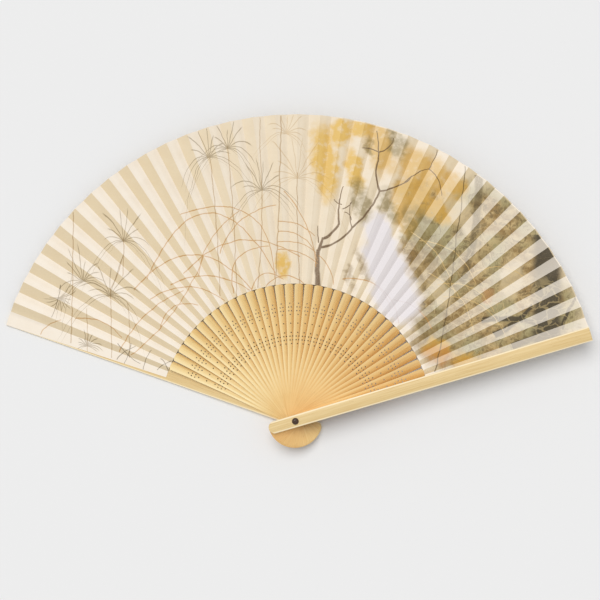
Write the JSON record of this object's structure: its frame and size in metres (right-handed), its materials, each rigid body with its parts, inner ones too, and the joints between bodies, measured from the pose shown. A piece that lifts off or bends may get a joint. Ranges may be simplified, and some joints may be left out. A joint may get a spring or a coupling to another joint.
{
  "type": "folding hand fan",
  "caption": "Folding hand fan of pierced bamboo ribs between two thicker guards on one rivet, with a pleated paper leaf painted with autumn grasses, shown open.",
  "frame": {"origin": "on the rivet's axis, in the plane of the back guard's underside, where the flush back head of the rivet lies", "axes": "+Z along the rivet towards the front guard, +Y along the middle of the open fan, +X to the right with the front guard at the right"},
  "size_m": [0.3976, 0.2261, 0.0222],
  "materials": {
    "guard_bamboo": "smooth split bamboo, waxed",
    "rib_bamboo": "thin planed bamboo",
    "leaf_paper": "matt printed paper, two sheets glued over the ribs",
    "rivet": "glossy dark brown"
  },
  "bodies": {
    "fixed_guard": {"back_guard": "guard_bamboo", "rivet": "rivet", "rivet_cap": "rivet", "leaf_tab_back": "leaf_paper"},
    "rib_01_turning": {"rib_01": "rib_bamboo", "leaf_fold_01": "leaf_paper"},
    "rib_02_turning": {"rib_02": "rib_bamboo"},
    "rib_03_turning": {"rib_03": "rib_bamboo", "leaf_fold_02": "leaf_paper"},
    "rib_04_turning": {"rib_04": "rib_bamboo"},
    "rib_05_turning": {"rib_05": "rib_bamboo", "leaf_fold_03": "leaf_paper"},
    "rib_06_turning": {"rib_06": "rib_bamboo"},
    "rib_07_turning": {"rib_07": "rib_bamboo", "leaf_fold_04": "leaf_paper"},
    "rib_08_turning": {"rib_08": "rib_bamboo"},
    "rib_09_turning": {"rib_09": "rib_bamboo", "leaf_fold_05": "leaf_paper"},
    "rib_10_turning": {"rib_10": "rib_bamboo"},
    "rib_11_turning": {"rib_11": "rib_bamboo", "leaf_fold_06": "leaf_paper"},
    "rib_12_turning": {"rib_12": "rib_bamboo"},
    "rib_13_turning": {"rib_13": "rib_bamboo", "leaf_fold_07": "leaf_paper"},
    "rib_14_turning": {"rib_14": "rib_bamboo"},
    "rib_15_turning": {"rib_15": "rib_bamboo", "leaf_fold_08": "leaf_paper"},
    "rib_16_turning": {"rib_16": "rib_bamboo"},
    "rib_17_turning": {"rib_17": "rib_bamboo", "leaf_fold_09": "leaf_paper"},
    "rib_18_turning": {"rib_18": "rib_bamboo"},
    "rib_19_turning": {"rib_19": "rib_bamboo", "leaf_fold_10": "leaf_paper"},
    "rib_20_turning": {"rib_20": "rib_bamboo"},
    "rib_21_turning": {"rib_21": "rib_bamboo", "leaf_fold_11": "leaf_paper"},
    "rib_22_turning": {"rib_22": "rib_bamboo"},
    "rib_23_turning": {"rib_23": "rib_bamboo", "leaf_fold_12": "leaf_paper"},
    "rib_24_turning": {"rib_24": "rib_bamboo"},
    "rib_25_turning": {"rib_25": "rib_bamboo", "leaf_fold_13": "leaf_paper"},
    "rib_26_turning": {"rib_26": "rib_bamboo"},
    "rib_27_turning": {"rib_27": "rib_bamboo", "leaf_fold_14": "leaf_paper"},
    "rib_28_turning": {"rib_28": "rib_bamboo"},
    "rib_29_turning": {"rib_29": "rib_bamboo", "leaf_fold_15": "leaf_paper"},
    "rib_30_turning": {"rib_30": "rib_bamboo"},
    "rib_31_turning": {"rib_31": "rib_bamboo", "leaf_fold_16": "leaf_paper"},
    "rib_32_turning": {"rib_32": "rib_bamboo"},
    "rib_33_turning": {"rib_33": "rib_bamboo", "leaf_fold_17": "leaf_paper"},
    "moving_guard": {"front_guard": "guard_bamboo", "leaf_tab_front": "leaf_paper"}
  },
  "joints": [
    {"name": "fan_fold", "type": "hinge", "parent": "fixed_guard", "child": "rib_01_turning", "pos_m": [0, 0, 0.00346], "axis": [0, 0, 1], "range_deg": [0, 4.24], "deforming": ["leaf_fold_01"]},
    {"name": "rib_02_turn", "type": "hinge", "parent": "rib_01_turning", "child": "rib_02_turning", "pos_m": [0, 0, 0.0039], "axis": [0, 0, 1], "range_deg": [0, 4.24]},
    {"name": "rib_03_turn", "type": "hinge", "parent": "rib_02_turning", "child": "rib_03_turning", "pos_m": [0, 0, 0.00434], "axis": [0, 0, 1], "range_deg": [0, 4.24], "deforming": ["leaf_fold_02"]},
    {"name": "rib_04_turn", "type": "hinge", "parent": "rib_03_turning", "child": "rib_04_turning", "pos_m": [0, 0, 0.00478], "axis": [0, 0, 1], "range_deg": [0, 4.24]},
    {"name": "rib_05_turn", "type": "hinge", "parent": "rib_04_turning", "child": "rib_05_turning", "pos_m": [0, 0, 0.00522], "axis": [0, 0, 1], "range_deg": [0, 4.24], "deforming": ["leaf_fold_03"]},
    {"name": "rib_06_turn", "type": "hinge", "parent": "rib_05_turning", "child": "rib_06_turning", "pos_m": [0, 0, 0.00566], "axis": [0, 0, 1], "range_deg": [0, 4.24]},
    {"name": "rib_07_turn", "type": "hinge", "parent": "rib_06_turning", "child": "rib_07_turning", "pos_m": [0, 0, 0.0061], "axis": [0, 0, 1], "range_deg": [0, 4.24], "deforming": ["leaf_fold_04"]},
    {"name": "rib_08_turn", "type": "hinge", "parent": "rib_07_turning", "child": "rib_08_turning", "pos_m": [0, 0, 0.00654], "axis": [0, 0, 1], "range_deg": [0, 4.24]},
    {"name": "rib_09_turn", "type": "hinge", "parent": "rib_08_turning", "child": "rib_09_turning", "pos_m": [0, 0, 0.00698], "axis": [0, 0, 1], "range_deg": [0, 4.24], "deforming": ["leaf_fold_05"]},
    {"name": "rib_10_turn", "type": "hinge", "parent": "rib_09_turning", "child": "rib_10_turning", "pos_m": [0, 0, 0.00742], "axis": [0, 0, 1], "range_deg": [0, 4.24]},
    {"name": "rib_11_turn", "type": "hinge", "parent": "rib_10_turning", "child": "rib_11_turning", "pos_m": [0, 0, 0.00786], "axis": [0, 0, 1], "range_deg": [0, 4.24], "deforming": ["leaf_fold_06"]},
    {"name": "rib_12_turn", "type": "hinge", "parent": "rib_11_turning", "child": "rib_12_turning", "pos_m": [0, 0, 0.0083], "axis": [0, 0, 1], "range_deg": [0, 4.24]},
    {"name": "rib_13_turn", "type": "hinge", "parent": "rib_12_turning", "child": "rib_13_turning", "pos_m": [0, 0, 0.00874], "axis": [0, 0, 1], "range_deg": [0, 4.24], "deforming": ["leaf_fold_07"]},
    {"name": "rib_14_turn", "type": "hinge", "parent": "rib_13_turning", "child": "rib_14_turning", "pos_m": [0, 0, 0.00918], "axis": [0, 0, 1], "range_deg": [0, 4.24]},
    {"name": "rib_15_turn", "type": "hinge", "parent": "rib_14_turning", "child": "rib_15_turning", "pos_m": [0, 0, 0.00962], "axis": [0, 0, 1], "range_deg": [0, 4.24], "deforming": ["leaf_fold_08"]},
    {"name": "rib_16_turn", "type": "hinge", "parent": "rib_15_turning", "child": "rib_16_turning", "pos_m": [0, 0, 0.01006], "axis": [0, 0, 1], "range_deg": [0, 4.24]},
    {"name": "rib_17_turn", "type": "hinge", "parent": "rib_16_turning", "child": "rib_17_turning", "pos_m": [0, 0, 0.0105], "axis": [0, 0, 1], "range_deg": [0, 4.24], "deforming": ["leaf_fold_09"]},
    {"name": "rib_18_turn", "type": "hinge", "parent": "rib_17_turning", "child": "rib_18_turning", "pos_m": [0, 0, 0.01094], "axis": [0, 0, 1], "range_deg": [0, 4.24]},
    {"name": "rib_19_turn", "type": "hinge", "parent": "rib_18_turning", "child": "rib_19_turning", "pos_m": [0, 0, 0.01138], "axis": [0, 0, 1], "range_deg": [0, 4.24], "deforming": ["leaf_fold_10"]},
    {"name": "rib_20_turn", "type": "hinge", "parent": "rib_19_turning", "child": "rib_20_turning", "pos_m": [0, 0, 0.01182], "axis": [0, 0, 1], "range_deg": [0, 4.24]},
    {"name": "rib_21_turn", "type": "hinge", "parent": "rib_20_turning", "child": "rib_21_turning", "pos_m": [0, 0, 0.01226], "axis": [0, 0, 1], "range_deg": [0, 4.24], "deforming": ["leaf_fold_11"]},
    {"name": "rib_22_turn", "type": "hinge", "parent": "rib_21_turning", "child": "rib_22_turning", "pos_m": [0, 0, 0.0127], "axis": [0, 0, 1], "range_deg": [0, 4.24]},
    {"name": "rib_23_turn", "type": "hinge", "parent": "rib_22_turning", "child": "rib_23_turning", "pos_m": [0, 0, 0.01314], "axis": [0, 0, 1], "range_deg": [0, 4.24], "deforming": ["leaf_fold_12"]},
    {"name": "rib_24_turn", "type": "hinge", "parent": "rib_23_turning", "child": "rib_24_turning", "pos_m": [0, 0, 0.01358], "axis": [0, 0, 1], "range_deg": [0, 4.24]},
    {"name": "rib_25_turn", "type": "hinge", "parent": "rib_24_turning", "child": "rib_25_turning", "pos_m": [0, 0, 0.01402], "axis": [0, 0, 1], "range_deg": [0, 4.24], "deforming": ["leaf_fold_13"]},
    {"name": "rib_26_turn", "type": "hinge", "parent": "rib_25_turning", "child": "rib_26_turning", "pos_m": [0, 0, 0.01446], "axis": [0, 0, 1], "range_deg": [0, 4.24]},
    {"name": "rib_27_turn", "type": "hinge", "parent": "rib_26_turning", "child": "rib_27_turning", "pos_m": [0, 0, 0.0149], "axis": [0, 0, 1], "range_deg": [0, 4.24], "deforming": ["leaf_fold_14"]},
    {"name": "rib_28_turn", "type": "hinge", "parent": "rib_27_turning", "child": "rib_28_turning", "pos_m": [0, 0, 0.01534], "axis": [0, 0, 1], "range_deg": [0, 4.24]},
    {"name": "rib_29_turn", "type": "hinge", "parent": "rib_28_turning", "child": "rib_29_turning", "pos_m": [0, 0, 0.01578], "axis": [0, 0, 1], "range_deg": [0, 4.24], "deforming": ["leaf_fold_15"]},
    {"name": "rib_30_turn", "type": "hinge", "parent": "rib_29_turning", "child": "rib_30_turning", "pos_m": [0, 0, 0.01622], "axis": [0, 0, 1], "range_deg": [0, 4.24]},
    {"name": "rib_31_turn", "type": "hinge", "parent": "rib_30_turning", "child": "rib_31_turning", "pos_m": [0, 0, 0.01666], "axis": [0, 0, 1], "range_deg": [0, 4.24], "deforming": ["leaf_fold_16"]},
    {"name": "rib_32_turn", "type": "hinge", "parent": "rib_31_turning", "child": "rib_32_turning", "pos_m": [0, 0, 0.0171], "axis": [0, 0, 1], "range_deg": [0, 4.24]},
    {"name": "rib_33_turn", "type": "hinge", "parent": "rib_32_turning", "child": "rib_33_turning", "pos_m": [0, 0, 0.01754], "axis": [0, 0, 1], "range_deg": [0, 4.24], "deforming": ["leaf_fold_17"]},
    {"name": "front_guard_turn", "type": "hinge", "parent": "rib_33_turning", "child": "moving_guard", "pos_m": [0, 0, 0.01934], "axis": [0, 0, 1], "range_deg": [0, 4.24]}
  ],
  "couplings": [
    {"joint": "rib_02_turn", "follows": "fan_fold", "ratio": 1},
    {"joint": "rib_03_turn", "follows": "fan_fold", "ratio": 1},
    {"joint": "rib_04_turn", "follows": "fan_fold", "ratio": 1},
    {"joint": "rib_05_turn", "follows": "fan_fold", "ratio": 1},
    {"joint": "rib_06_turn", "follows": "fan_fold", "ratio": 1},
    {"joint": "rib_07_turn", "follows": "fan_fold", "ratio": 1},
    {"joint": "rib_08_turn", "follows": "fan_fold", "ratio": 1},
    {"joint": "rib_09_turn", "follows": "fan_fold", "ratio": 1},
    {"joint": "rib_10_turn", "follows": "fan_fold", "ratio": 1},
    {"joint": "rib_11_turn", "follows": "fan_fold", "ratio": 1},
    {"joint": "rib_12_turn", "follows": "fan_fold", "ratio": 1},
    {"joint": "rib_13_turn", "follows": "fan_fold", "ratio": 1},
    {"joint": "rib_14_turn", "follows": "fan_fold", "ratio": 1},
    {"joint": "rib_15_turn", "follows": "fan_fold", "ratio": 1},
    {"joint": "rib_16_turn", "follows": "fan_fold", "ratio": 1},
    {"joint": "rib_17_turn", "follows": "fan_fold", "ratio": 1},
    {"joint": "rib_18_turn", "follows": "fan_fold", "ratio": 1},
    {"joint": "rib_19_turn", "follows": "fan_fold", "ratio": 1},
    {"joint": "rib_20_turn", "follows": "fan_fold", "ratio": 1},
    {"joint": "rib_21_turn", "follows": "fan_fold", "ratio": 1},
    {"joint": "rib_22_turn", "follows": "fan_fold", "ratio": 1},
    {"joint": "rib_23_turn", "follows": "fan_fold", "ratio": 1},
    {"joint": "rib_24_turn", "follows": "fan_fold", "ratio": 1},
    {"joint": "rib_25_turn", "follows": "fan_fold", "ratio": 1},
    {"joint": "rib_26_turn", "follows": "fan_fold", "ratio": 1},
    {"joint": "rib_27_turn", "follows": "fan_fold", "ratio": 1},
    {"joint": "rib_28_turn", "follows": "fan_fold", "ratio": 1},
    {"joint": "rib_29_turn", "follows": "fan_fold", "ratio": 1},
    {"joint": "rib_30_turn", "follows": "fan_fold", "ratio": 1},
    {"joint": "rib_31_turn", "follows": "fan_fold", "ratio": 1},
    {"joint": "rib_32_turn", "follows": "fan_fold", "ratio": 1},
    {"joint": "rib_33_turn", "follows": "fan_fold", "ratio": 1},
    {"joint": "front_guard_turn", "follows": "fan_fold", "ratio": 1}
  ]
}
